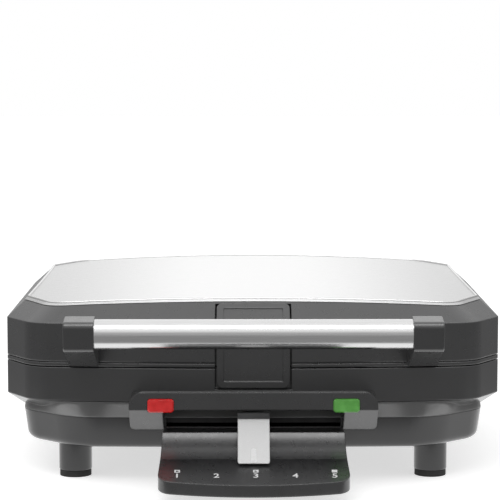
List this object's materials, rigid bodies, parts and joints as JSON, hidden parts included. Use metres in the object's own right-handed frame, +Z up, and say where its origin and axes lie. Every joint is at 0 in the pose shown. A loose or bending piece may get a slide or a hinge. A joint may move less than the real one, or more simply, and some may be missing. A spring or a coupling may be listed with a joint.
{
  "type": "waffle maker",
  "caption": "Square Belgian waffle maker with a hinged lid, bar handle, latch, browning slide on a scale tongue, and round feet.",
  "frame": {"origin": "on the table, under the middle of the box round the whole appliance", "axes": "+Z up, +Y from the handle and scale at the front to the hinge at the back, +X to the user's right"},
  "size_m": [0.323, 0.3644, 0.122],
  "materials": {
    "black_plastic": "glossy moulded",
    "brushed_cover": "fine brushed",
    "silver_bar": "satin",
    "silver_knob": "silver painted, satin",
    "red_lens": "clear red moulded",
    "green_lens": "clear green moulded",
    "lamp_glass": "clear",
    "nonstick_plate": "cast, non-stick coated",
    "heater_tube": "oxidised",
    "plain_steel": "plain rolled",
    "black_rubber": "matte",
    "dark_nylon": "moulded nylon",
    "white_ceramic": "unglazed"
  },
  "bodies": {
    "base": {"base_housing": "black_plastic", "bottom_tray": "black_plastic", "lower_grid_plate": "nonstick_plate", "lower_heater": "heater_tube", "lower_reflector": "plain_steel", "lower_plate_screws": "plain_steel", "control_panel": "black_plastic", "scale_tongue": "black_plastic", "red_lens": "red_lens", "green_lens": "green_lens", "indicator_lamps": "lamp_glass", "thermostat_body": "white_ceramic", "slide_rail": "plain_steel", "hinge_bracket_left": "black_plastic", "hinge_bracket_right": "black_plastic", "hinge_pin_left": "plain_steel", "hinge_pin_right": "plain_steel", "foot_front_left": "black_plastic", "foot_front_right": "black_plastic", "foot_rear_left": "black_plastic", "foot_rear_right": "black_plastic", "foot_pad_front_left": "black_rubber", "foot_pad_front_right": "black_rubber", "foot_pad_rear_left": "black_rubber", "foot_pad_rear_right": "black_rubber", "tray_screws": "plain_steel", "cord_gland": "black_rubber", "terminal_block": "white_ceramic", "thermal_fuse": "plain_steel"},
    "lid": {"lid_housing": "black_plastic", "cover_plate": "brushed_cover", "upper_grid_plate": "nonstick_plate", "upper_heater": "heater_tube", "upper_reflector": "plain_steel", "upper_plate_screws": "plain_steel", "handle_bar": "silver_bar", "handle_bracket_left": "black_plastic", "handle_bracket_right": "black_plastic", "handle_screws": "plain_steel", "hinge_arm_left": "black_plastic", "hinge_arm_right": "black_plastic", "latch_pin": "plain_steel", "latch_spring": "plain_steel"},
    "latch": {"latch_panel": "black_plastic"},
    "slider": {"slider_knob": "silver_knob", "slider_carriage": "dark_nylon"},
    "pinion": {"thermostat_pinion": "dark_nylon"}
  },
  "joints": [
    {"name": "lid_hinge", "type": "hinge", "parent": "base", "child": "lid", "pos_m": [0, 0.17575, 0.076], "axis": [-1, 0, 0], "range_deg": [0, 105]},
    {"name": "latch_pivot", "type": "hinge", "parent": "lid", "child": "latch", "pos_m": [0, -0.10025, 0.103], "axis": [-1, 0, 0], "range_deg": [-3, 12], "stiffness_Nm_per_rad": 0.3},
    {"name": "browning_slide", "type": "slide", "parent": "base", "child": "slider", "axis": [1, 0, 0], "range_m": [-0.048, 0.048]},
    {"name": "thermostat_turn", "type": "hinge", "parent": "base", "child": "pinion", "pos_m": [0, -0.07725, 0.04], "axis": [0, 0, 1], "range_deg": [-131, 131]}
  ],
  "couplings": [
    {"joint": "thermostat_turn", "follows": "browning_slide", "rad_per_m": 47.619}
  ]
}
